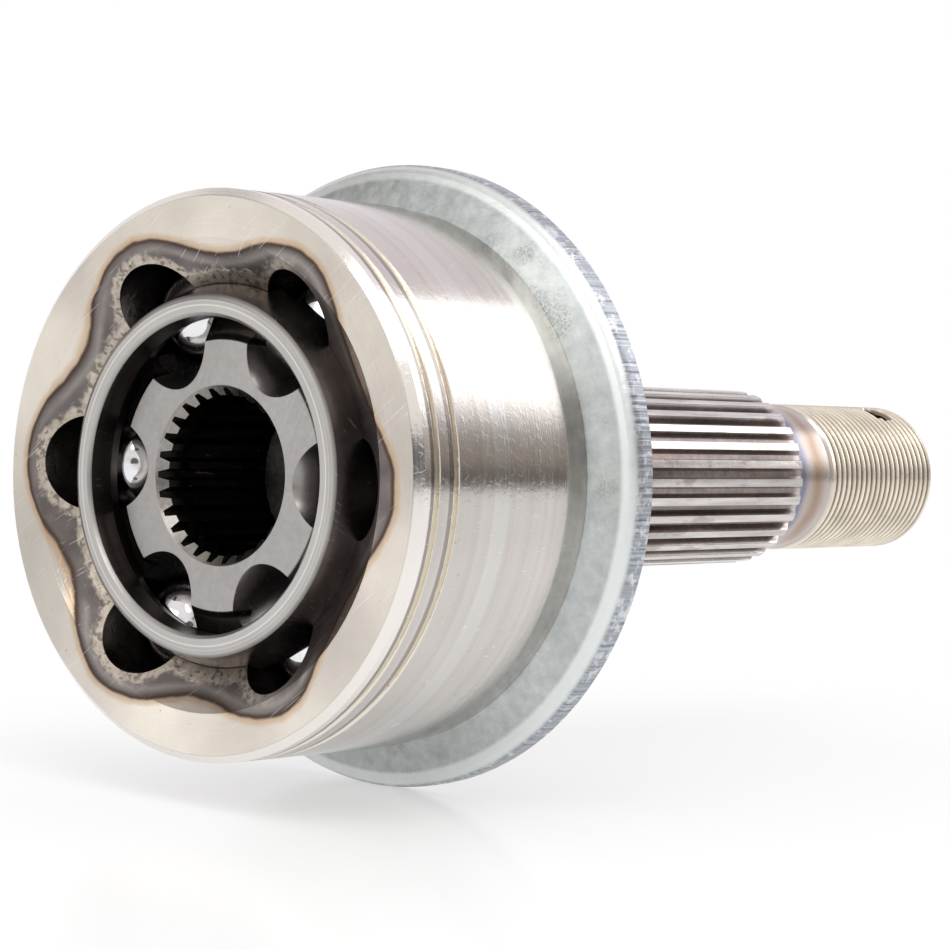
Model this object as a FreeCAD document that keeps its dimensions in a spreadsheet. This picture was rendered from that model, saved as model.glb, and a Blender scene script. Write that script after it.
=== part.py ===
import FreeCAD, Part
import os
import re
import Sketcher

# Ball-type outer constant velocity joint. Millimetres and degrees.
# The joint centre is the origin, +X runs along the stub axle, +Z is up and the mouth faces -X.

doc = FreeCAD.newDocument("cv_joint")
sheet = doc.addObject("Spreadsheet::Sheet", "sizes")

SIZES = [
    # the mouth face lies this far in front of the joint centre; bell stations count from that face
    ("mouth_depth", 12.2),
    ("bell_radius", 37.5),
    ("face_edge", 1.0),
    ("land_one_end", 2.8),
    ("groove_width", 1.0),
    ("groove_depth", 0.45),
    ("groove_two_start", 6.5),
    ("bell_band_start", 29.7),
    ("bell_band_radius", 37.1),
    ("bell_end", 34.2),
    ("shield_seat_radius", 30.0),
    ("shield_seat_end", 39.5),
    ("tail_start", 47.0),
    ("shoulder_radius", 20.5),
    ("shoulder_edge", 0.8),
    ("shoulder", 50.0),
    ("journal_radius", 15.0),
    ("journal_end", 57.0),
    ("spline_lead_in", 1.2),
    ("spline_end", 122.8),
    ("spline_crest_radius", 13.9),
    ("spline_root_radius", 12.6),
    ("spline_end_taper", 1.5),
    ("spline_teeth", 30),
    ("stub_end", 165.4),
    ("thread_radius", 12.0),
    ("thread_pitch", 1.5),
    ("thread_depth", 0.85),
    ("thread_groove_width", 1.3),
    ("thread_root_width", 0.3),
    ("thread_grooves", 20),
    ("thread_start", 134.2),
    ("thread_end_edge", 1.4),
    ("relief_radius", 11.7),
    ("pin_hole_radius", 2.3),
    ("pin_hole_from_end", 7.1),
    ("pin_hole_angle", 109.0),
    ("pin_hole_edge", 0.8),
    # mouth
    ("cone_radius", 31.0),
    ("cone_slope", 33.0),
    # balls, tracks, cage and inner race
    ("ball_radius", 6.35),
    ("ball_circle_radius", 24.6),
    ("track_offset", 4.0),
    ("track_clearance", 0.12),
    ("track_back_angle", 53.0),
    ("track_sweep", 90.0),
    ("race_clearance", 0.05),
    ("cage_wall_outside", 2.0),
    ("cage_wall_inside", 2.1),
    ("cage_proud", 0.3),
    ("cage_outer_edge", 0.55),
    ("cage_inner_edge", 0.45),
    ("window_play", 0.36),
    ("window_travel", 1.05),
    ("window_corner", 2.6),
    ("inner_sunk", 3.3),
    ("inner_edge", 2.8),
    ("inner_teeth", 27),
    ("inner_crest_radius", 10.6),
    ("inner_root_radius", 11.6),
    ("inner_bore_edge", 1.3),
    ("ring_groove_from_front", 3.4),
    ("ring_groove_width", 1.6),
    ("ring_groove_radius", 11.8),
    # dust shield
    ("shield_thickness", 1.2),
    ("shield_flat_radius", 36.8),
    ("shield_rim_radius", 43.5),
    ("shield_face_drop", 2.6),
    ("shield_depth", 5.8),
    ("shield_bend", 1.9),
]

# sizes that follow from others: the cage and the inner race go with the ball circle
FOLLOWING = [
    ("cage_outer_radius", "=ball_circle_radius + cage_wall_outside"),
    ("cage_inner_radius", "=ball_circle_radius - cage_wall_inside"),
    ("cage_front", "=mouth_depth + cage_proud"),
    ("cage_back", "=cage_outer_radius * 0.43"),
    ("cage_bore_radius", "=cage_inner_radius * 0.925"),
    ("inner_front", "=mouth_depth - inner_sunk"),
    ("inner_back", "=cage_inner_radius * 0.55"),
]

for row, (alias, value) in enumerate(SIZES + FOLLOWING, start=1):
    sheet.set("A%d" % row, alias)
    sheet.set("B%d" % row, str(value))
    sheet.setAlias("B%d" % row, alias)
doc.recompute()

MM = {alias: float(sheet.get(alias)) for alias, value in SIZES + FOLLOWING}
SHEET_PREFIX = {alias: "sizes." + alias for alias in MM}
X_AXIS = FreeCAD.Vector(1, 0, 0)
Y_AXIS = FreeCAD.Vector(0, 1, 0)
Z_AXIS = FreeCAD.Vector(0, 0, 1)
BALLS = 6


def evaluate(words):
    """The number an expression over the sheet gives now."""
    return float(sheet.evalExpression(words))


def named(words):
    """The same expression as another object writes it, with the sheet's name in front of each size."""
    return re.sub("[a-z_]+", lambda word: SHEET_PREFIX.get(word.group(), word.group()), words)


def bind(thing, path, words):
    thing.setExpression(path, named(words))


def origin_part(body, role):
    return [part for part in body.Origin.OriginFeatures if part.Role == role][0]


def new_body(name, offset=None):
    """A body whose own X=0 lies at offset, an expression, on the common axis."""
    body = doc.addObject("PartDesign::Body", name)
    body.Label = name
    if offset:
        bind(body, "Placement.Base.x", offset)
    doc.recompute()
    return body


def new_sketch(body, name, role="XY_Plane", lift=None):
    """A sketch on one of the body's own planes, lifted off it by an expression where one is given."""
    sketch = body.newObject("Sketcher::SketchObject", name)
    sketch.AttachmentSupport = (origin_part(body, role), "")
    sketch.MapMode = "FlatFace"
    if lift:
        bind(sketch, "AttachmentOffset.Base.z", lift)
    doc.recompute()
    return sketch


def draw_loop(sketch, corners):
    """A closed loop of straight lines. Every corner is a pair of expressions; "0" keeps it on an axis."""
    spots = [FreeCAD.Vector(evaluate(across), evaluate(up), 0) for across, up in corners]
    count = len(spots)
    for index in range(count):
        sketch.addGeometry(Part.LineSegment(spots[index], spots[(index + 1) % count]), False)
    for index in range(count):
        sketch.addConstraint(Sketcher.Constraint("Coincident", index, 2, (index + 1) % count, 1))
    for index, (across, up) in enumerate(corners):
        pin_corner(sketch, index, "DistanceX", across, -2, "across_%d" % index)
        pin_corner(sketch, index, "DistanceY", up, -1, "up_%d" % index)
    doc.recompute()


def pin_corner(sketch, line, kind, words, axis, name):
    if words == "0":
        sketch.addConstraint(Sketcher.Constraint("PointOnObject", line, 1, axis))
        return
    number = sketch.addConstraint(Sketcher.Constraint(kind, -1, 1, line, 1, evaluate(words)))
    sketch.renameConstraint(number, name)
    bind(sketch, "Constraints." + name, words)


def turn(body, kind, name, sketch, role="X_Axis"):
    """A revolution or a groove of the sketch about one of the body's axes."""
    feature = body.newObject("PartDesign::" + kind, name)
    feature.Profile = sketch
    feature.ReferenceAxis = (origin_part(body, role), [""])
    feature.Angle = 360.0
    sketch.Visibility = False
    doc.recompute()
    return feature


def pocket(body, name, sketch, length):
    """A pocket of stated length that cuts against the sketch's normal."""
    feature = body.newObject("PartDesign::Pocket", name)
    feature.Profile = sketch
    feature.Refine = False
    bind(feature, "Length", length)
    sketch.Visibility = False
    body.Tip = feature
    doc.recompute()
    return feature


def polar(body, name, features, count, angle=360.0, role="X_Axis"):
    pattern = body.newObject("PartDesign::PolarPattern", name)
    pattern.Originals = features
    pattern.Refine = False
    pattern.Axis = (origin_part(body, role), [""])
    pattern.Angle = angle
    pattern.Occurrences = int(count)
    body.Tip = pattern
    doc.recompute()
    return pattern


def primitive(body, kind, name, sizes, rotation=None, base=None):
    """A primitive placed in the body's own frame, with its sizes bound to the sheet."""
    feature = body.newObject("PartDesign::" + kind, name)
    feature.MapMode = "Deactivated"
    feature.Refine = False
    feature.Placement = FreeCAD.Placement(FreeCAD.Vector(), rotation or FreeCAD.Rotation())
    for path, words in sizes.items():
        bind(feature, path, words)
    for path, words in (base or {}).items():
        bind(feature, "Placement.Base." + path, words)
    body.Tip = feature
    doc.recompute()
    return feature


def circle_edges(feature, station, radius):
    """The names of the full-circle edges about X at a station and radius, in the body's own frame."""
    names = []
    for number, edge in enumerate(feature.Shape.Edges, start=1):
        if edge.Degenerated:
            continue
        curve = edge.Curve
        if not isinstance(curve, Part.Circle):
            continue
        right_place = abs(curve.Center.x - station) < 0.01
        if right_place and abs(curve.Radius - radius) < 0.01:
            names.append("Edge%d" % number)
    if not names:
        raise RuntimeError("no edge at %.2f with radius %.2f" % (station, radius))
    return names


def dress(body, kind, name, feature, edges, words):
    """A fillet or a chamfer on named edges."""
    result = body.newObject("PartDesign::" + kind, name)
    result.Base = (feature, edges)
    bind(result, "Radius" if kind == "Fillet" else "Size", words)
    body.Tip = result
    doc.recompute()
    return result


ALONG_X = FreeCAD.Rotation(Z_AXIS, X_AXIS)

# ---------------------------------------------------------------- outer race: bell and stub axle
outer = new_body("outer_race", "-mouth_depth")

outline = new_sketch(outer, "outer_outline")
draw_loop(
    outline,
    [
        ("0", "0"),
        ("0", "bell_radius - face_edge * 1.1"),
        ("face_edge", "bell_radius"),
        ("land_one_end", "bell_radius"),
        ("land_one_end + groove_depth / 2", "bell_radius - groove_depth"),
        ("land_one_end + groove_width", "bell_radius - groove_depth"),
        ("land_one_end + groove_width * 1.2", "bell_radius"),
        ("groove_two_start", "bell_radius"),
        ("groove_two_start + groove_depth / 2", "bell_radius - groove_depth"),
        ("groove_two_start + groove_width", "bell_radius - groove_depth"),
        ("groove_two_start + groove_width * 1.2", "bell_radius"),
        ("bell_band_start", "bell_radius"),
        ("bell_band_start + 0.5", "bell_band_radius"),
        ("bell_end", "bell_band_radius"),
        ("bell_end", "shield_seat_radius"),
        ("shield_seat_end", "shield_seat_radius"),
        ("tail_start", "shoulder_radius"),
        ("shoulder - shoulder_edge", "shoulder_radius"),
        ("shoulder", "shoulder_radius - shoulder_edge"),
        ("shoulder", "journal_radius"),
        ("journal_end", "journal_radius"),
        ("journal_end + spline_lead_in", "spline_crest_radius"),
        ("spline_end - spline_end_taper", "spline_crest_radius"),
        ("spline_end", "spline_root_radius - 0.1"),
        ("spline_end + 0.4", "relief_radius"),
        ("thread_start - thread_pitch", "relief_radius"),
        ("thread_start - thread_pitch / 2", "thread_radius"),
        ("stub_end - thread_end_edge", "thread_radius"),
        ("stub_end", "thread_radius - thread_end_edge"),
        ("stub_end", "0"),
    ],
)
turn(outer, "Revolution", "outer_blank", outline)

# thread: rings at the real pitch
cut = new_sketch(outer, "thread_groove")
draw_loop(
    cut,
    [
        ("thread_start", "thread_radius + 0.2"),
        ("thread_start", "thread_radius"),
        ("thread_start + thread_groove_width / 2 - thread_root_width / 2", "thread_radius - thread_depth"),
        ("thread_start + thread_groove_width / 2 + thread_root_width / 2", "thread_radius - thread_depth"),
        ("thread_start + thread_groove_width", "thread_radius"),
        ("thread_start + thread_groove_width", "thread_radius + 0.2"),
    ],
)
groove = turn(outer, "Groove", "thread_ring", cut)
rings = outer.newObject("PartDesign::LinearPattern", "thread_rings")
rings.Originals = [groove]
rings.Direction = (origin_part(outer, "X_Axis"), [""])
bind(rings, "Length", "thread_pitch * (thread_grooves - 1)")
rings.Occurrences = int(MM["thread_grooves"])
outer.Tip = rings
doc.recompute()

# hub spline: one tooth space, patterned round the stub
space = new_sketch(outer, "spline_space", "YZ_Plane", lift="spline_end + 1")
tooth = "180 / spline_teeth"
draw_loop(
    space,
    [
        ("-0.62 * spline_crest_radius * sin(%s)" % tooth, "spline_crest_radius + 0.3"),
        ("-0.58 * spline_crest_radius * sin(%s)" % tooth, "spline_crest_radius - 0.1"),
        ("-0.26 * spline_crest_radius * sin(%s)" % tooth, "spline_root_radius"),
        ("0.26 * spline_crest_radius * sin(%s)" % tooth, "spline_root_radius"),
        ("0.58 * spline_crest_radius * sin(%s)" % tooth, "spline_crest_radius - 0.1"),
        ("0.62 * spline_crest_radius * sin(%s)" % tooth, "spline_crest_radius + 0.3"),
    ],
)
space_cut = pocket(outer, "spline_gap", space, "spline_end - journal_end - spline_lead_in")
polar(outer, "spline_gaps", [space_cut], MM["spline_teeth"])

# cavity for the cage, and the conical lead-in at the mouth
primitive(
    outer,
    "SubtractiveSphere",
    "cage_seat",
    {"Radius": "cage_outer_radius + race_clearance"},
    base={"x": "mouth_depth"},
)
primitive(
    outer,
    "SubtractiveCone",
    "mouth_cone",
    {
        "Radius1": "cone_radius + 1 / tan(cone_slope)",
        "Radius2": "cone_radius - 6 / tan(cone_slope)",
        "Height": "7",
    },
    rotation=ALONG_X,
    base={"x": "-1"},
)

# ball tracks: an arc about a point in front of the joint centre, closed by a ball end at the back
arc = "sqrt(ball_circle_radius * ball_circle_radius + track_offset * track_offset)"
track = primitive(
    outer,
    "SubtractiveTorus",
    "track",
    {
        "Radius1": arc,
        "Radius2": "ball_radius + track_clearance",
        "Angle3": "track_sweep",
    },
    rotation=FreeCAD.Rotation(Z_AXIS, MM["track_back_angle"]),
    base={"x": "mouth_depth - track_offset"},
)
polar(outer, "tracks", [track], BALLS)
track_end = primitive(
    outer,
    "SubtractiveSphere",
    "track_end",
    {"Radius": "ball_radius + track_clearance"},
    base={
        "x": "mouth_depth - track_offset + %s * cos(track_back_angle)" % arc,
        "y": "%s * sin(track_back_angle)" % arc,
    },
)
polar(outer, "track_ends", [track_end], BALLS)

# cotter pin hole, straight through the threaded end, with a countersink at each mouth
reach = "(thread_radius + 2)"
hole_turn = FreeCAD.Rotation(X_AXIS, MM["pin_hole_angle"] - 90)
primitive(
    outer,
    "SubtractiveCylinder",
    "pin_hole",
    {"Radius": "pin_hole_radius", "Height": "2 * " + reach},
    rotation=hole_turn,
    base={
        "x": "stub_end - pin_hole_from_end",
        "y": "-%s * cos(pin_hole_angle)" % reach,
        "z": "-%s * sin(pin_hole_angle)" % reach,
    },
)
sink_start = "(thread_radius - pin_hole_edge)"
for side, name in ((1, "pin_hole_sink_near"), (-1, "pin_hole_sink_far")):
    primitive(
        outer,
        "SubtractiveCone",
        name,
        {
            "Radius1": "pin_hole_radius",
            "Radius2": "pin_hole_radius + 3 * pin_hole_edge",
            "Height": "3 * pin_hole_edge",
        },
        rotation=hole_turn * (FreeCAD.Rotation() if side > 0 else FreeCAD.Rotation(X_AXIS, 180)),
        base={
            "x": "stub_end - pin_hole_from_end",
            "y": "%d * %s * cos(pin_hole_angle)" % (side, sink_start),
            "z": "%d * %s * sin(pin_hole_angle)" % (side, sink_start),
        },
    )

# ---------------------------------------------------------------- dust shield, a pressed ring
shield = new_body("dust_shield", "-mouth_depth")
section = new_sketch(shield, "shield_section")
lean = "shield_face_drop / (shield_rim_radius - shield_flat_radius)"
slant = "sqrt(1 + (%s) * (%s)) * shield_thickness" % (lean, lean)
draw_loop(
    section,
    [
        ("bell_end", "shield_seat_radius"),
        ("bell_end", "shield_flat_radius"),
        ("bell_end + shield_face_drop", "shield_rim_radius"),
        ("bell_end + shield_depth", "shield_rim_radius"),
        ("bell_end + shield_depth", "shield_rim_radius - shield_thickness"),
        (
            "bell_end + shield_face_drop - shield_thickness * (%s) + %s" % (lean, slant),
            "shield_rim_radius - shield_thickness",
        ),
        (
            "bell_end + shield_thickness",
            "shield_flat_radius - (%s - shield_thickness) / (%s)" % (slant, lean),
        ),
        ("bell_end + shield_thickness", "shield_seat_radius"),
    ],
)
ring = turn(shield, "Revolution", "shield_ring", section)
corner = circle_edges(ring, evaluate("bell_end + shield_face_drop"), MM["shield_rim_radius"])
bend = dress(shield, "Fillet", "shield_outer_bend", ring, corner, "shield_bend")
inner_corner = circle_edges(
    bend,
    evaluate("bell_end + shield_face_drop - shield_thickness * (%s) + %s" % (lean, slant)),
    evaluate("shield_rim_radius - shield_thickness"),
)
dress(shield, "Fillet", "shield_inner_bend", bend, inner_corner, "shield_bend - shield_thickness")

# ---------------------------------------------------------------- cage
cage = new_body("cage")
shell = primitive(
    cage,
    "AdditiveSphere",
    "cage_blank",
    {
        "Radius": "cage_outer_radius",
        "Angle1": "-asin(cage_front / cage_outer_radius)",
        "Angle2": "asin(cage_back / cage_outer_radius)",
    },
    rotation=ALONG_X,
)
primitive(cage, "SubtractiveSphere", "race_seat", {"Radius": "cage_inner_radius"})
bored = primitive(
    cage,
    "SubtractiveCylinder",
    "cage_bore",
    {"Radius": "cage_bore_radius", "Height": "cage_front + cage_back + 4"},
    rotation=ALONG_X,
    base={"x": "-cage_front - 2"},
)
rim = circle_edges(
    bored, -MM["cage_front"], (MM["cage_outer_radius"] ** 2 - MM["cage_front"] ** 2) ** 0.5
)
edged = dress(cage, "Chamfer", "cage_outer_bevel", bored, rim, "cage_outer_edge")
lip = circle_edges(edged, -MM["cage_front"], MM["cage_bore_radius"])
edged = dress(cage, "Chamfer", "cage_inner_bevel", edged, lip, "cage_inner_edge")

window = new_sketch(cage, "window_outline", "XZ_Plane")
half_width = "(ball_radius + window_play)"
half_length = "(ball_radius + window_travel)"
wide = evaluate(half_width)
long = evaluate(half_length)
corner_radius = MM["window_corner"]
flats = (
    ((-wide + corner_radius, -long), (wide - corner_radius, -long)),
    ((wide, -long + corner_radius), (wide, long - corner_radius)),
    ((wide - corner_radius, long), (-wide + corner_radius, long)),
    ((-wide, long - corner_radius), (-wide, -long + corner_radius)),
)
for start, end in flats:
    window.addGeometry(
        Part.LineSegment(FreeCAD.Vector(start[0], start[1], 0), FreeCAD.Vector(end[0], end[1], 0)), False
    )
centres = ((1, -1), (1, 1), (-1, 1), (-1, -1))
for quarter, (across, up) in enumerate(centres):
    middle = FreeCAD.Vector(across * (wide - corner_radius), up * (long - corner_radius), 0)
    circle = Part.Circle(middle, Z_AXIS, corner_radius)
    first = (quarter - 1) * 1.5707963267948966
    window.addGeometry(Part.ArcOfCircle(circle, first, first + 1.5707963267948966), False)
for quarter in range(4):
    window.addConstraint(Sketcher.Constraint("Tangent", quarter, 2, 4 + quarter, 1))
    window.addConstraint(Sketcher.Constraint("Tangent", 4 + quarter, 2, (quarter + 1) % 4, 1))
for quarter in range(1, 4):
    window.addConstraint(Sketcher.Constraint("Equal", 4, 4 + quarter))
for line in (0, 2):
    window.addConstraint(Sketcher.Constraint("Horizontal", line))
for line in (1, 3):
    window.addConstraint(Sketcher.Constraint("Vertical", line))
bound = window.addConstraint(Sketcher.Constraint("Radius", 4, corner_radius))
window.renameConstraint(bound, "corner")
bind(window, "Constraints.corner", "window_corner")
sides = (
    (0, "DistanceY", "low", "-" + half_length),
    (1, "DistanceX", "right", half_width),
    (2, "DistanceY", "high", half_length),
    (3, "DistanceX", "left", "-" + half_width),
)
for line, kind, name, words in sides:
    number = window.addConstraint(Sketcher.Constraint(kind, -1, 1, line, 1, evaluate(words)))
    window.renameConstraint(number, name)
    bind(window, "Constraints." + name, words)
doc.recompute()
opening = pocket(cage, "window", window, "cage_outer_radius + 2")
polar(cage, "windows", [opening], BALLS)

# ---------------------------------------------------------------- inner race
inner = new_body("inner_race")
blank = primitive(
    inner,
    "AdditiveSphere",
    "inner_blank",
    {
        "Radius": "cage_inner_radius - race_clearance",
        "Angle1": "-asin(inner_front / (cage_inner_radius - race_clearance))",
        "Angle2": "asin(inner_back / (cage_inner_radius - race_clearance))",
    },
    rotation=ALONG_X,
)
race_radius = MM["cage_inner_radius"] - MM["race_clearance"]
front_edge = circle_edges(blank, -MM["inner_front"], (race_radius**2 - MM["inner_front"] ** 2) ** 0.5)
blank = dress(inner, "Chamfer", "inner_front_bevel", blank, front_edge, "inner_edge")
primitive(
    inner,
    "SubtractiveCylinder",
    "inner_bore",
    {"Radius": "inner_crest_radius", "Height": "inner_front + inner_back + 2"},
    rotation=ALONG_X,
    base={"x": "-inner_front - 1"},
)
inner_track = primitive(
    inner,
    "SubtractiveTorus",
    "inner_track",
    {
        "Radius1": arc,
        "Radius2": "ball_radius + track_clearance",
        "Angle1": "0",
        "Angle2": "360",
    },
    base={"x": "track_offset"},
)
polar(inner, "inner_tracks", [inner_track], BALLS // 2, angle=120.0)
primitive(
    inner,
    "SubtractiveCone",
    "bore_front_edge",
    {
        "Radius1": "inner_crest_radius + inner_bore_edge + 0.2",
        "Radius2": "inner_crest_radius",
        "Height": "inner_bore_edge + 0.2",
    },
    rotation=ALONG_X,
    base={"x": "-inner_front - 0.2"},
)
primitive(
    inner,
    "SubtractiveCone",
    "bore_back_edge",
    {
        "Radius1": "inner_crest_radius",
        "Radius2": "inner_crest_radius + inner_bore_edge + 0.2",
        "Height": "inner_bore_edge + 0.2",
    },
    rotation=ALONG_X,
    base={"x": "inner_back - inner_bore_edge"},
)
primitive(
    inner,
    "SubtractiveCylinder",
    "ring_groove",
    {"Radius": "ring_groove_radius", "Height": "ring_groove_width"},
    rotation=ALONG_X,
    base={"x": "-inner_front + ring_groove_from_front"},
)
gap = new_sketch(inner, "bore_space", "YZ_Plane", lift="inner_back + 1")
tooth = "180 / inner_teeth"
draw_loop(
    gap,
    [
        ("-0.70 * inner_crest_radius * sin(%s)" % tooth, "inner_crest_radius - 0.4"),
        ("-0.62 * inner_crest_radius * sin(%s)" % tooth, "inner_crest_radius"),
        ("-0.32 * inner_crest_radius * sin(%s)" % tooth, "inner_root_radius"),
        ("0.32 * inner_crest_radius * sin(%s)" % tooth, "inner_root_radius"),
        ("0.62 * inner_crest_radius * sin(%s)" % tooth, "inner_crest_radius"),
        ("0.70 * inner_crest_radius * sin(%s)" % tooth, "inner_crest_radius - 0.4"),
    ],
)
gap_cut = pocket(inner, "bore_gap", gap, "inner_front + inner_back + 2")
polar(inner, "bore_gaps", [gap_cut], MM["inner_teeth"])

# ---------------------------------------------------------------- balls
for number in range(BALLS):
    ball = doc.addObject("Part::Sphere", "ball_%d" % (number + 1))
    ball.Label = "ball_%d" % (number + 1)
    bind(ball, "Radius", "ball_radius")
    bind(ball, "Placement.Base.y", "ball_circle_radius * cos(%d)" % (60 * number))
    bind(ball, "Placement.Base.z", "ball_circle_radius * sin(%d)" % (60 * number))
doc.recompute()

# ---------------------------------------------------------------- check and write
faults = []
for thing in doc.Objects:
    if "Invalid" in thing.State or "Error" in thing.State:
        faults.append("%s is in error" % thing.Name)
pieces = [outer, shield, cage, inner] + [doc.getObject("ball_%d" % (n + 1)) for n in range(BALLS)]
for piece in pieces:
    shape = piece.Shape
    if shape.isNull() or not shape.isValid() or len(shape.Solids) != 1:
        faults.append("%s is not one valid solid" % piece.Label)
if faults:
    raise RuntimeError("; ".join(faults))

os.makedirs("parts", exist_ok=True)
for piece in pieces:
    piece.Shape.exportStep("parts/%s.step" % piece.Label)
    box = piece.Shape.BoundBox
    print("%-12s volume %9.1f  x %.2f..%.2f" % (piece.Label, piece.Shape.Volume, box.XMin, box.XMax))
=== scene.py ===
import math

import bpy
from mathutils import Matrix, Vector

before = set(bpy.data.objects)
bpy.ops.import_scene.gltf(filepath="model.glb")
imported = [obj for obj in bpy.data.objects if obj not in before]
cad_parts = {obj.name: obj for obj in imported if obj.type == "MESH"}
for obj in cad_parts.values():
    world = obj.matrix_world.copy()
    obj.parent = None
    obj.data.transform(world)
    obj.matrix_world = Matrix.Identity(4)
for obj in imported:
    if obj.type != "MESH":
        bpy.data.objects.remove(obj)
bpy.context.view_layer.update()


# ---------------------------------------------------------------- material building

def linked(tree, target, value):
    """Sets an input to a value, or links it where the value is another node's output."""
    if isinstance(value, bpy.types.NodeSocket):
        tree.links.new(value, target)
    elif isinstance(value, (tuple, list)) and len(value) == 3 and target.type == "RGBA":
        target.default_value = (*value, 1.0)
    else:
        target.default_value = value


class Steel:
    """One metal's nodes. Every method returns the output that the next one takes."""

    def __init__(self, name):
        self.material = bpy.data.materials.new(name)
        self.material.use_nodes = True
        self.tree = self.material.node_tree
        self.shader = self.tree.nodes["Principled BSDF"]
        self.shader.inputs["Metallic"].default_value = 1.0
        coordinates = self.tree.nodes.new("ShaderNodeTexCoord")
        place = self.tree.nodes.new("ShaderNodeVectorMath")
        place.operation = "SCALE"
        linked(self.tree, place.inputs[0], coordinates.outputs["Object"])
        place.inputs["Scale"].default_value = 1000.0
        self.place = place.outputs[0]
        parts = self.tree.nodes.new("ShaderNodeSeparateXYZ")
        linked(self.tree, parts.inputs[0], self.place)
        self.x, self.y, self.z = parts.outputs
        self.radius = self.math("SQRT", self.math("ADD", self.squared(self.y), self.squared(self.z)))
        self.angle = self.math("ARCTAN2", self.z, self.y)

    def math(self, operation, first, second=None, third=None, clamp=False):
        node = self.tree.nodes.new("ShaderNodeMath")
        node.operation = operation
        node.use_clamp = clamp
        for slot, value in zip(node.inputs, (first, second, third)):
            if value is not None:
                linked(self.tree, slot, value)
        return node.outputs[0]

    def squared(self, value):
        return self.math("MULTIPLY", value, value)

    def above(self, value, start, end):
        """0 below start, 1 above end, smooth between. With end below start it falls instead."""
        node = self.tree.nodes.new("ShaderNodeMapRange")
        node.interpolation_type = "SMOOTHSTEP"
        linked(self.tree, node.inputs["Value"], value)
        for name, number in (("From Min", min(start, end)), ("From Max", max(start, end))):
            node.inputs[name].default_value = number
        node.inputs["To Min"].default_value = 0.0 if end > start else 1.0
        node.inputs["To Max"].default_value = 1.0 if end > start else 0.0
        return node.outputs[0]

    def band(self, value, low, high, soft):
        rise = self.above(value, low - soft, low + soft)
        fall = self.above(value, high + soft, high - soft)
        return self.math("MULTIPLY", rise, fall)

    def noise(self, scale, detail=3.0, stretch=(1.0, 1.0, 1.0), roughness=0.5):
        """Cloudy variation about 0.5. scale is in cycles per millimetre, before the stretch."""
        node = self.tree.nodes.new("ShaderNodeTexNoise")
        spread = self.tree.nodes.new("ShaderNodeVectorMath")
        spread.operation = "MULTIPLY"
        linked(self.tree, spread.inputs[0], self.place)
        spread.inputs[1].default_value = stretch
        linked(self.tree, node.inputs["Vector"], spread.outputs[0])
        node.inputs["Scale"].default_value = scale
        node.inputs["Detail"].default_value = detail
        node.inputs["Roughness"].default_value = roughness
        return node.outputs["Fac"]

    def lines(self, value, scale, detail=2.0):
        """Variation along one measure only, as turning leaves it."""
        node = self.tree.nodes.new("ShaderNodeTexNoise")
        node.noise_dimensions = "1D"
        linked(self.tree, node.inputs["W"], self.math("MULTIPLY", value, scale))
        node.inputs["Scale"].default_value = 1.0
        node.inputs["Detail"].default_value = detail
        return node.outputs["Fac"]

    def specks(self, scale, low, high):
        """Small scattered spots: 1 in a spot, 0 elsewhere."""
        node = self.tree.nodes.new("ShaderNodeTexVoronoi")
        linked(self.tree, node.inputs["Vector"], self.place)
        node.inputs["Scale"].default_value = scale
        return self.above(node.outputs["Distance"], high, low)

    def scratches(self, angle, amount=0.70):
        """Fine straight handling marks across a plane about the X axis: 1 in a mark, 0 elsewhere."""
        turn = self.tree.nodes.new("ShaderNodeVectorRotate")
        turn.rotation_type = "X_AXIS"
        turn.inputs["Angle"].default_value = angle
        linked(self.tree, turn.inputs["Vector"], self.place)
        stretch = self.tree.nodes.new("ShaderNodeVectorMath")
        stretch.operation = "MULTIPLY"
        linked(self.tree, stretch.inputs[0], turn.outputs[0])
        stretch.inputs[1].default_value = (0.6, 0.10, 5.0)
        node = self.tree.nodes.new("ShaderNodeTexNoise")
        linked(self.tree, node.inputs["Vector"], stretch.outputs[0])
        node.inputs["Scale"].default_value = 1.0
        node.inputs["Detail"].default_value = 1.0
        return self.above(node.outputs["Fac"], amount, amount + 0.03)

    def mix(self, first, second, amount):
        node = self.tree.nodes.new("ShaderNodeMix")
        node.data_type = "RGBA"
        linked(self.tree, node.inputs[0], amount)
        linked(self.tree, node.inputs[6], first)
        linked(self.tree, node.inputs[7], second)
        return node.outputs[2]

    def blend(self, first, second, amount):
        node = self.tree.nodes.new("ShaderNodeMix")
        node.data_type = "FLOAT"
        linked(self.tree, node.inputs[0], amount)
        linked(self.tree, node.inputs[2], first)
        linked(self.tree, node.inputs[3], second)
        return node.outputs[0]

    def shade(self, color, value, spread):
        """The colour made lighter and darker by a value about 0.5."""
        amount = self.math("MULTIPLY_ADD", value, 2.0 * spread, 1.0 - spread)
        node = self.tree.nodes.new("ShaderNodeVectorMath")
        node.operation = "SCALE"
        linked(self.tree, node.inputs[0], color)
        linked(self.tree, node.inputs["Scale"], amount)
        return node.outputs[0]

    def bump(self, layers):
        """Bumps from (height 0 to 1, depth in millimetres) pairs, one on the other."""
        normal = None
        for height, depth in layers:
            node = self.tree.nodes.new("ShaderNodeBump")
            node.inputs["Strength"].default_value = 1.0
            node.inputs["Distance"].default_value = depth * 0.001
            linked(self.tree, node.inputs["Height"], height)
            if normal is not None:
                linked(self.tree, node.inputs["Normal"], normal)
            normal = node.outputs[0]
        return normal

    def turned(self, amount):
        """Brushing round the X axis, as a lathe leaves it."""
        tangent = self.tree.nodes.new("ShaderNodeTangent")
        tangent.direction_type = "RADIAL"
        tangent.axis = "X"
        linked(self.tree, self.shader.inputs["Tangent"], tangent.outputs[0])
        self.shader.inputs["Anisotropic"].default_value = amount

    def finish(self, color, roughness, normal=None):
        linked(self.tree, self.shader.inputs["Base Color"], color)
        linked(self.tree, self.shader.inputs["Roughness"], roughness)
        if normal is not None:
            linked(self.tree, self.shader.inputs["Normal"], normal)
        return self.material


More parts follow.
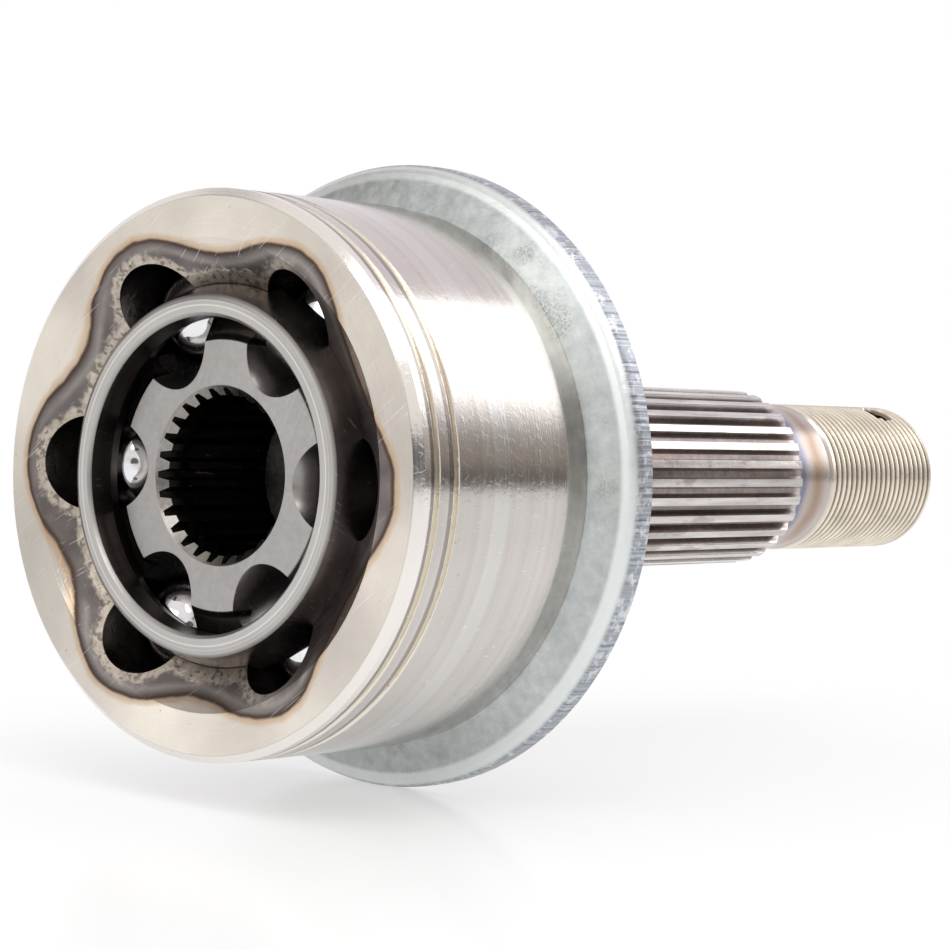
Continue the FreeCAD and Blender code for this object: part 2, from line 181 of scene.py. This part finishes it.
def dress(node, material):
    """Gives a CAD node its material."""
    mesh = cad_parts[node].data
    mesh.materials.clear()
    mesh.materials.append(material)


# stations along the joint's axis, in millimetres from the joint centre
FACE = -12.2
CAGE_FRONT = -12.5
RACE_FRONT = -8.9
JOURNAL_END = 44.8
SPLINE_END = 110.6
GOLD_START = 121.2

# radii about the axis, in millimetres
BELL_RADIUS = 37.5
CONE_EDGE = 31.0
WAVE_RADIUS = 31.45
WAVE_HEIGHT = 2.25
LAND_EDGE = 17.8
BORE_MOUTH = 11.9
TOOTH_TIPS = 10.6
HUB_TOOTH_TIPS = 13.9
THREAD_ROOT = 11.15
SHIELD_RIM = 43.5
CAGE_LINE = 22.2

# radius that the mouth's cone loses for each millimetre inwards
CONE_FALL = 1.54
BALLS = 6


# ---------------------------------------------------------------- outer race

def bell_steel():
    steel = Steel("bell_steel")
    on_face = steel.above(steel.x, FACE + 0.06, FACE + 0.02)
    outside = steel.above(steel.radius, BELL_RADIUS - 1.9, BELL_RADIUS - 0.9)
    cone = steel.math("MULTIPLY_ADD", steel.math("SUBTRACT", steel.x, FACE), CONE_FALL, steel.radius)
    on_cone = steel.math(
        "MULTIPLY",
        steel.band(cone, CONE_EDGE - 0.25, CONE_EDGE + 0.25, 0.05),
        steel.above(steel.radius, 25.1, 25.4),
    )
    at_mouth = steel.math("MAXIMUM", on_face, on_cone)
    hollow = steel.math("MULTIPLY", steel.above(steel.radius, 33.0, 32.0), steel.above(steel.x, 27.5, 27.0))
    inside = steel.math("MULTIPLY", hollow, steel.math("SUBTRACT", 1.0, at_mouth))
    stub = steel.above(steel.x, JOURNAL_END - 0.5, JOURNAL_END + 0.5)
    spline = steel.band(steel.x, JOURNAL_END + 0.8, SPLINE_END - 0.4, 0.4)
    relief = steel.band(steel.x, SPLINE_END - 1.5, GOLD_START + 0.5, 1.0)
    thread = steel.above(steel.x, GOLD_START - 1.5, GOLD_START + 1.0)
    cloud = steel.noise(0.06, 4.0)
    fine = steel.noise(0.9, 5.0)
    rings = steel.lines(steel.radius, 3.0, 4.0)
    bands = steel.lines(steel.x, 3.0, 5.0)
    wide_bands = steel.lines(steel.x, 0.55, 3.0)

    # bare turned steel, warmer on the mouth's face
    body = steel.shade((0.60, 0.565, 0.535), cloud, 0.12)
    body = steel.shade(body, wide_bands, 0.14)
    face = steel.shade((0.64, 0.59, 0.53), steel.noise(0.035, 4.0), 0.55)
    face = steel.shade(face, cloud, 0.22)
    face = steel.shade(face, rings, 0.05)
    color = steel.mix(body, face, at_mouth)

    # a faint worn band on the bell
    worn = steel.band(steel.x, 2.5, 5.5, 0.35)
    color = steel.mix(color, (0.66, 0.655, 0.64), steel.math("MULTIPLY", worn, 0.6))

    # a painted highlight: a lighter band before the first groove, in place of the real bell's wider bevel
    painted_bevel_highlight = steel.math("MULTIPLY", steel.band(steel.x, FACE + 0.1, FACE + 2.2, 0.1), outside)
    color = steel.mix(color, (0.86, 0.82, 0.78), steel.math("MULTIPLY", painted_bevel_highlight, 0.9))

    # painted shade: dark bands that widen the look of the two retaining grooves, narrower here than on the
    # real bell
    painted_groove_shade = steel.math(
        "MAXIMUM",
        steel.band(steel.x, FACE + 2.15, FACE + 2.8, 0.15),
        steel.band(steel.x, FACE + 5.7, FACE + 6.5, 0.15),
    )
    painted_groove_shade = steel.math("MULTIPLY", painted_groove_shade, outside)
    color = steel.mix(color, (0.24, 0.21, 0.19), steel.math("MULTIPLY", painted_groove_shade, 0.75))

    # the retaining grooves, with a straw tint
    groove = steel.math(
        "MULTIPLY",
        steel.band(steel.radius, BELL_RADIUS - 0.6, BELL_RADIUS - 0.08, 0.04),
        steel.band(steel.x, FACE + 2.0, FACE + 9.0, 0.4),
    )
    color = steel.mix(color, (0.84, 0.78, 0.66), steel.math("MULTIPLY", groove, 0.8))

    # hardening heat has coloured the mouth in six waves, with pale scale along its edges
    wave = steel.math("COSINE", steel.math("MULTIPLY", steel.angle, float(BALLS)))
    edge = steel.math("MULTIPLY_ADD", wave, WAVE_HEIGHT, WAVE_RADIUS)
    wobble = steel.math("MULTIPLY_ADD", steel.noise(0.22, 2.0), 1.0, -0.5)
    depth = steel.math("ADD", steel.math("SUBTRACT", steel.radius, edge), wobble)
    straw = steel.math("MULTIPLY", steel.band(depth, -0.1, 0.55, 0.65), at_mouth)
    brown = steel.math("MULTIPLY", steel.band(depth, -0.65, -0.05, 0.3), at_mouth)
    grey = steel.math("MULTIPLY", steel.above(depth, 0.0, -0.3), at_mouth)
    turn = steel.math("PINGPONG", steel.angle, math.pi / BALLS)
    across = steel.math("MULTIPLY", steel.radius, steel.math("SINE", turn))
    along = steel.math("MULTIPLY", steel.radius, steel.math("COSINE", turn))
    along = steel.math("MULTIPLY", steel.math("SUBTRACT", along, 23.5), 0.944)
    lobe = steel.math("SQRT", steel.math("ADD", steel.squared(across), steel.squared(along)))
    ragged = steel.math("MULTIPLY_ADD", steel.noise(0.8, 4.0), 2.4, -1.2)
    near_lobe = steel.above(steel.math("ADD", lobe, ragged), 8.2, 7.3)
    near_land = steel.above(steel.math("ADD", steel.radius, ragged), 27.6, 26.7)
    # painted light on a real mark: the pale scale is kept to the lit side and left off on the mouth's
    # shaded -Y side
    scale_on_lit_side = steel.above(steel.math("ADD", steel.y, ragged), -17.0, -9.0)
    scaled = steel.math("MULTIPLY", steel.math("MAXIMUM", near_lobe, near_land), grey)
    scaled = steel.math("MULTIPLY", scaled, scale_on_lit_side)
    band = steel.shade((0.155, 0.135, 0.13), steel.noise(0.22, 4.0), 0.75)
    streak = steel.math("MULTIPLY", steel.band(depth, -2.0, -1.2, 0.5), steel.above(cloud, 0.42, 0.58))
    band = steel.mix(band, (0.34, 0.31, 0.29), steel.math("MULTIPLY", streak, 0.7))
    pale = steel.shade((0.50, 0.44, 0.37), fine, 0.55)
    pits = steel.above(steel.noise(1.1, 4.0), 0.54, 0.62)
    pale = steel.mix(pale, (0.13, 0.11, 0.10), steel.math("MULTIPLY", pits, 0.75))
    band = steel.mix(band, pale, steel.math("MULTIPLY", scaled, 0.9))
    color = steel.mix(color, band, grey)
    color = steel.mix(color, (0.50, 0.30, 0.14), steel.math("MULTIPLY", straw, 0.8))
    color = steel.mix(color, (0.07, 0.045, 0.035), steel.math("MULTIPLY", brown, 0.93))

    # the cage's seat and the tracks, dark from hardening and oil and from painted shade
    oil_and_painted_shade = steel.shade((0.10, 0.088, 0.082), steel.noise(0.25, 4.0), 0.5)
    color = steel.mix(color, oil_and_painted_shade, inside)

    # spline, temper colours behind it, and the thread
    # the spline's gaps are darker than its rubbed tips, partly from dirt and partly painted shade
    rubbed = steel.above(steel.radius, HUB_TOOTH_TIPS - 0.6, HUB_TOOTH_TIPS - 0.05)
    grooves = steel.shade((0.24, 0.205, 0.195), fine, 0.4)
    teeth = steel.mix(grooves, (0.62, 0.585, 0.57), rubbed)
    teeth = steel.shade(teeth, steel.noise(0.8, 3.0, (0.08, 1.0, 1.0)), 0.6)
    rust = steel.above(steel.noise(0.35, 4.0, (0.35, 1.0, 1.0)), 0.56, 0.66)
    teeth = steel.mix(teeth, (0.30, 0.22, 0.18), steel.math("MULTIPLY", rust, 0.5))
    color = steel.mix(color, teeth, spline)
    heat = steel.math("ADD", steel.x, steel.math("MULTIPLY_ADD", steel.noise(0.15, 2.0), 4.0, -2.0))
    blue = steel.band(heat, SPLINE_END + 1.0, SPLINE_END + 3.5, 1.6)
    amber = steel.band(heat, SPLINE_END + 5.0, SPLINE_END + 8.5, 2.0)
    color = steel.mix(color, (0.52, 0.47, 0.45), steel.math("MULTIPLY", relief, 0.9))
    color = steel.mix(color, (0.13, 0.14, 0.24), steel.math("MULTIPLY", blue, 0.85))
    color = steel.mix(color, (0.30, 0.18, 0.10), steel.math("MULTIPLY", amber, 0.75))
    gold = steel.shade((0.84, 0.76, 0.64), steel.noise(0.2, 4.0), 0.35)
    # darker roots, for the dirt and the shade in them
    root = steel.above(steel.radius, THREAD_ROOT + 0.75, THREAD_ROOT + 0.35)
    gold = steel.mix(gold, (0.16, 0.12, 0.09), steel.math("MULTIPLY", root, 0.9))
    color = steel.mix(color, gold, thread)

    # light handling marks and stains
    plain = steel.math("SUBTRACT", 1.0, steel.math("MAXIMUM", inside, stub))
    marks = steel.math("MULTIPLY", steel.scratches(0.7), plain)
    color = steel.mix(color, (0.82, 0.80, 0.77), steel.math("MULTIPLY", marks, 0.35))
    stain = steel.math("MULTIPLY", steel.specks(0.55, 0.04, 0.16), steel.above(fine, 0.52, 0.6))
    color = steel.mix(color, (0.30, 0.25, 0.20), steel.math("MULTIPLY", stain, 0.4))

    rough = steel.math("MULTIPLY_ADD", fine, 0.05, 0.09)
    rough = steel.math("MULTIPLY_ADD", bands, 0.06, rough)
    rough = steel.blend(rough, steel.math("MULTIPLY_ADD", cloud, 0.16, 0.26), on_face)
    rough = steel.blend(rough, 0.34, grey)
    rough = steel.blend(rough, steel.math("MULTIPLY_ADD", fine, 0.2, 0.20), inside)
    rough = steel.blend(rough, steel.math("MULTIPLY_ADD", fine, 0.12, 0.16), stub)
    steel.turned(0.35)
    turning = steel.blend(rings, bands, outside)
    turning = steel.math("MULTIPLY", turning, steel.math("SUBTRACT", 1.0, inside))
    crust = steel.math("MULTIPLY", pits, steel.math("SUBTRACT", 1.0, scaled))
    normal = steel.bump(
        [
            (turning, 0.006),
            (steel.math("MULTIPLY", fine, steel.math("MAXIMUM", scaled, inside)), 0.06),
            (crust, 0.004),
            (steel.noise(2.5, 3.0), 0.004),
        ]
    )
    return steel.finish(color, rough, normal)


# ---------------------------------------------------------------- dust shield

def shield_zinc():
    steel = Steel("shield_zinc")
    mottle = steel.noise(0.55, 6.0, roughness=0.7)
    cloud = steel.noise(0.07, 3.0)
    grain = steel.noise(3.0, 4.0, roughness=0.7)
    color = steel.shade((0.50, 0.53, 0.525), mottle, 0.45)
    color = steel.shade(color, cloud, 0.35)
    straw = steel.above(steel.noise(0.05, 2.0), 0.52, 0.68)
    color = steel.mix(color, (0.60, 0.61, 0.52), steel.math("MULTIPLY", straw, 0.4))
    white = steel.math("MULTIPLY", steel.above(grain, 0.60, 0.72), steel.above(mottle, 0.5, 0.65))
    color = steel.mix(color, (0.86, 0.88, 0.88), steel.math("MULTIPLY", white, 0.6))
    patches = steel.above(steel.noise(0.10, 5.0), 0.55, 0.68)
    smudge = steel.math("MULTIPLY", patches, steel.above(grain, 0.4, 0.6))
    color = steel.mix(color, (0.17, 0.17, 0.165), steel.math("MULTIPLY", smudge, 0.6))
    # a lighter band along the outer bend, to strengthen the highlight there
    bright = steel.band(steel.radius, SHIELD_RIM - 2.1, SHIELD_RIM - 0.35, 0.35)
    color = steel.mix(color, (0.86, 0.89, 0.89), steel.math("MULTIPLY", bright, 0.75))
    rim = steel.above(steel.radius, SHIELD_RIM - 0.4, SHIELD_RIM - 0.1)
    shear = steel.lines(steel.angle, 90.0, 5.0)
    torn = steel.shade((0.36, 0.38, 0.42), shear, 1.0)
    torn = steel.mix(torn, (0.66, 0.68, 0.70), steel.above(mottle, 0.5, 0.62))
    color = steel.mix(color, torn, rim)
    rough = steel.math("MULTIPLY_ADD", mottle, 0.22, 0.20)
    rough = steel.math("MULTIPLY_ADD", grain, 0.10, rough)
    shear_height = steel.math("MULTIPLY", shear, rim)
    normal = steel.bump([(mottle, 0.05), (grain, 0.022), (shear_height, 0.08)])
    return steel.finish(color, rough, normal)


# ---------------------------------------------------------------- cage, inner race and balls

def cage_steel():
    steel = Steel("cage_steel")
    cloud = steel.noise(0.14, 4.0)
    fine = steel.noise(1.2, 5.0)
    rings = steel.lines(steel.radius, 3.0, 3.0)
    rim = steel.above(steel.x, CAGE_FRONT + 0.6, CAGE_FRONT + 0.1)
    body = steel.shade((0.125, 0.108, 0.102), cloud, 0.7)
    body = steel.shade(body, steel.noise(0.5, 4.0), 0.25)
    ground = steel.shade((0.46, 0.445, 0.43), rings, 0.24)
    ground = steel.shade(ground, cloud, 0.14)
    # a painted highlight: a thin pale line round the front face, where the real cage may have a small step
    step_highlight = steel.band(steel.radius, CAGE_LINE - 0.1, CAGE_LINE + 0.1, 0.08)
    ground = steel.mix(ground, (0.66, 0.65, 0.63), step_highlight)
    color = steel.mix(body, ground, rim)
    marks = steel.scratches(2.1)
    color = steel.mix(color, (0.50, 0.49, 0.47), steel.math("MULTIPLY", marks, 0.35))
    rough = steel.math("MULTIPLY_ADD", fine, 0.18, 0.22)
    steel.turned(0.3)
    normal = steel.bump([(rings, 0.006), (fine, 0.012)])
    return steel.finish(color, rough, normal)


def race_steel():
    steel = Steel("race_steel")
    cloud = steel.noise(0.18, 4.0)
    fine = steel.noise(1.4, 5.0)
    front = steel.above(steel.x, RACE_FRONT + 0.1, RACE_FRONT + 0.03)
    bore = steel.above(steel.radius, BORE_MOUTH + 0.2, BORE_MOUTH)
    body = steel.shade((0.34, 0.32, 0.31), cloud, 0.35)
    land = steel.shade((0.37, 0.355, 0.345), fine, 0.16)
    land = steel.shade(land, cloud, 0.12)
    bevel = steel.shade((0.24, 0.22, 0.21), cloud, 0.3)
    # painted shade: a nearly black ring on the bevel, where the real part shows a dark band that may come
    # from a small step; a dark ring on the bevel, which may be a step or only a reflection on the real
    # part
    painted_shade_ring = steel.band(steel.radius, LAND_EDGE + 0.1, LAND_EDGE + 0.9, 0.15)
    bevel = steel.mix(bevel, (0.035, 0.03, 0.03), painted_shade_ring)
    sloped = steel.math(
        "MULTIPLY",
        steel.band(steel.x, RACE_FRONT + 0.05, RACE_FRONT + 2.6, 0.03),
        steel.above(steel.radius, LAND_EDGE, LAND_EDGE + 0.1),
    )
    color = steel.mix(body, bevel, sloped)
    # the teeth are a little deeper here than on the real part, so their tips get painted shade like the
    # bore's
    painted_shade_tips = steel.above(steel.radius, TOOTH_TIPS + 0.85, TOOTH_TIPS + 0.65)
    land = steel.mix(land, (0.07, 0.062, 0.058), painted_shade_tips)
    color = steel.mix(color, land, front)
    # the bore is kept nearly black further in, in place of the deep shade there
    teeth = steel.shade((0.30, 0.28, 0.26), fine, 0.35)
    inner = steel.mix(teeth, (0.025, 0.022, 0.02), steel.above(steel.x, RACE_FRONT + 0.8, RACE_FRONT + 4.0))
    color = steel.mix(color, inner, steel.math("MULTIPLY", bore, steel.math("SUBTRACT", 1.0, front)))
    marks = steel.scratches(1.1)
    color = steel.mix(color, (0.55, 0.54, 0.52), steel.math("MULTIPLY", marks, 0.35))
    rough = steel.math("MULTIPLY_ADD", fine, 0.08, 0.22)
    rough = steel.blend(rough, steel.math("MULTIPLY_ADD", fine, 0.15, 0.32), front)
    normal = steel.bump([(fine, 0.003)])
    return steel.finish(color, rough, normal)


def ball_steel():
    steel = Steel("ball_steel")
    film = steel.noise(0.28, 4.0)
    smear = steel.above(film, 0.52, 0.70)
    color = steel.shade((0.80, 0.80, 0.82), film, 0.10)
    color = steel.mix(color, (0.52, 0.47, 0.42), steel.math("MULTIPLY", smear, 0.55))
    rough = steel.math("MULTIPLY_ADD", smear, 0.12, 0.06)
    normal = steel.bump([(steel.noise(1.2, 3.0), 0.004)])
    return steel.finish(color, rough, normal)


dress("outer_race", bell_steel())
dress("dust_shield", shield_zinc())
dress("cage", cage_steel())
dress("inner_race", race_steel())
polished = ball_steel()
for number in range(1, BALLS + 1):
    dress("ball_%d" % number, polished)


# ---------------------------------------------------------------- floor and surroundings

# the shield's lowest point, in metres
FLOOR_HEIGHT = -0.0435


def floor():
    """A white table top with the part's shadow and a faint reflection, plain white further off."""
    bpy.ops.mesh.primitive_plane_add(size=6.0, location=(0.0, 0.0, FLOOR_HEIGHT))
    table = bpy.context.object
    table.name = "floor"
    material = bpy.data.materials.new("floor_white")
    material.use_nodes = True
    tree = material.node_tree
    shader = tree.nodes["Principled BSDF"]
    shader.inputs["Base Color"].default_value = (0.96, 0.96, 0.96, 1.0)
    shader.inputs["Roughness"].default_value = 0.16
    shader.inputs["Specular IOR Level"].default_value = 0.12

    place = tree.nodes.new("ShaderNodeTexCoord").outputs["Object"]
    from_part = tree.nodes.new("ShaderNodeVectorMath")
    from_part.operation = "DISTANCE"
    linked(tree, from_part.inputs[0], place)
    from_part.inputs[1].default_value = (0.03, 0.0, 0.0)
    away = tree.nodes.new("ShaderNodeMapRange")
    away.interpolation_type = "SMOOTHSTEP"
    linked(tree, away.inputs["Value"], from_part.outputs["Value"])
    for name, value in (("From Min", 0.06), ("From Max", 0.26), ("To Min", 0.45), ("To Max", 1.0)):
        away.inputs[name].default_value = value
    path = tree.nodes.new("ShaderNodeLightPath")
    seen = path.outputs["Is Camera Ray"]
    for kind in ("Is Glossy Ray", "Is Transmission Ray"):
        either = tree.nodes.new("ShaderNodeMath")
        either.operation = "MAXIMUM"
        linked(tree, either.inputs[0], seen)
        linked(tree, either.inputs[1], path.outputs[kind])
        seen = either.outputs[0]
    amount = tree.nodes.new("ShaderNodeMath")
    amount.operation = "MULTIPLY"
    linked(tree, amount.inputs[0], away.outputs[0])
    linked(tree, amount.inputs[1], seen)
    white = tree.nodes.new("ShaderNodeEmission")
    white.inputs["Color"].default_value = (1.0, 1.0, 1.0, 1.0)
    white.inputs["Strength"].default_value = 1.0
    both = tree.nodes.new("ShaderNodeMixShader")
    linked(tree, both.inputs[0], amount.outputs[0])
    linked(tree, both.inputs[1], shader.outputs[0])
    linked(tree, both.inputs[2], white.outputs[0])
    linked(tree, tree.nodes["Material Output"].inputs["Surface"], both.outputs[0])
    table.data.materials.append(material)


def surroundings():
    """A white studio. For metal it also has a light box behind, a dark gap and other dark places."""
    world = bpy.data.worlds.new("studio")
    bpy.context.scene.world = world
    world.use_nodes = True
    tree = world.node_tree
    tree.nodes.clear()

    def node(kind, **settings):
        made = tree.nodes.new(kind)
        for name, value in settings.items():
            setattr(made, name, value)
        return made

    def put(socket, value):
        linked(tree, socket, value)

    def step(value, low, high):
        made = node("ShaderNodeMapRange", interpolation_type="SMOOTHSTEP")
        put(made.inputs["Value"], value)
        made.inputs["From Min"].default_value = min(low, high)
        made.inputs["From Max"].default_value = max(low, high)
        made.inputs["To Min"].default_value = 0.0 if high > low else 1.0
        made.inputs["To Max"].default_value = 1.0 if high > low else 0.0
        return made.outputs[0]

    def times(first, second):
        made = node("ShaderNodeMath", operation="MULTIPLY")
        put(made.inputs[0], first)
        put(made.inputs[1], second)
        return made.outputs[0]

    def mixed(first, second, amount):
        made = node("ShaderNodeMix", data_type="RGBA")
        put(made.inputs[0], amount)
        put(made.inputs[6], first)
        put(made.inputs[7], second)
        return made.outputs[2]

    def towards(x, y, z, narrow, wide):
        made = node("ShaderNodeVectorMath", operation="DOT_PRODUCT")
        put(made.inputs[0], direction)
        made.inputs[1].default_value = Vector((x, y, z)).normalized()
        return step(made.outputs["Value"], math.cos(math.radians(wide)), math.cos(math.radians(narrow)))

    path = node("ShaderNodeLightPath")
    direction = node("ShaderNodeTexCoord").outputs["Generated"]
    parts = node("ShaderNodeSeparateXYZ")
    put(parts.inputs[0], direction)
    x, y, z = parts.outputs
    behind = step(x, 0.05, 0.35)
    walls = mixed((0.92, 0.90, 0.88), (0.92, 0.87, 0.91), behind)
    box = times(times(step(y, -0.07, -0.10), step(y, -0.60, -0.46)), step(z, 0.05, 0.2))
    walls = mixed(walls, (2.3, 2.3, 2.3), times(box, behind))
    gap = times(step(y, -0.42, -0.60), step(z, 0.42, 0.18))
    walls = mixed(walls, (0.36, 0.33, 0.30), times(gap, behind))
    low_gap = times(step(y, -0.50, -0.62), step(z, 0.14, 0.03))
    walls = mixed(walls, (0.11, 0.095, 0.085), times(low_gap, behind))
    walls = mixed(walls, (0.10, 0.10, 0.11), towards(-0.77, -0.63, 0.08, 9.0, 11.0))
    walls = mixed(walls, (0.40, 0.38, 0.37), towards(-0.2, -1.0, 0.25, 14.0, 24.0))
    walls = mixed(walls, (0.45, 0.43, 0.42), towards(-0.4, 0.9, 0.7, 12.0, 25.0))
    plain = mixed((0.98, 0.98, 0.98), walls, path.outputs["Is Glossy Ray"])
    seen = mixed(plain, (1.0, 1.0, 1.0), path.outputs["Is Camera Ray"])
    background = node("ShaderNodeBackground")
    background.inputs["Strength"].default_value = 1.0
    output = node("ShaderNodeOutputWorld")
    put(background.inputs["Color"], seen)
    put(output.inputs["Surface"], background.outputs[0])


def softbox(name, place, target, width, height, power):
    light = bpy.data.lights.new(name, "AREA")
    light.shape = "RECTANGLE"
    light.size = width
    light.size_y = height
    light.energy = power
    lamp = bpy.data.objects.new(name, light)
    lamp.location = place
    aim = Vector(target) - Vector(place)
    lamp.rotation_euler = aim.to_track_quat("-Z", "Y").to_euler()
    bpy.context.scene.collection.objects.link(lamp)


floor()
surroundings()
softbox("key", (-0.35, -0.45, 0.75), (0.02, 0.0, 0.0), 0.7, 0.5, 2.5)
softbox("fill", (-0.85, 0.25, 0.25), (0.0, 0.0, 0.0), 0.6, 0.6, 1.5)


# ---------------------------------------------------------------- camera

camera_data = bpy.data.cameras.new("camera")
camera_data.sensor_width = 36.0
camera_data.lens = 111.16
camera_data.clip_start = 0.01
camera_data.clip_end = 20.0
camera = bpy.data.objects.new("camera", camera_data)
bpy.context.scene.collection.objects.link(camera)
forward = Vector((0.77195, 0.63405, -0.0454)).normalized()
up = Vector((-0.0015, 0.0732, 0.9973))
right = forward.cross(up).normalized()
up = right.cross(forward)
turn = Matrix((right, up, -forward)).transposed().to_4x4()
camera_place = (-0.28427, -0.26955, 0.01946)
camera.matrix_world = Matrix.Translation(camera_place) @ turn
bpy.context.scene.camera = camera
bpy.context.scene.view_settings.view_transform = "Standard"
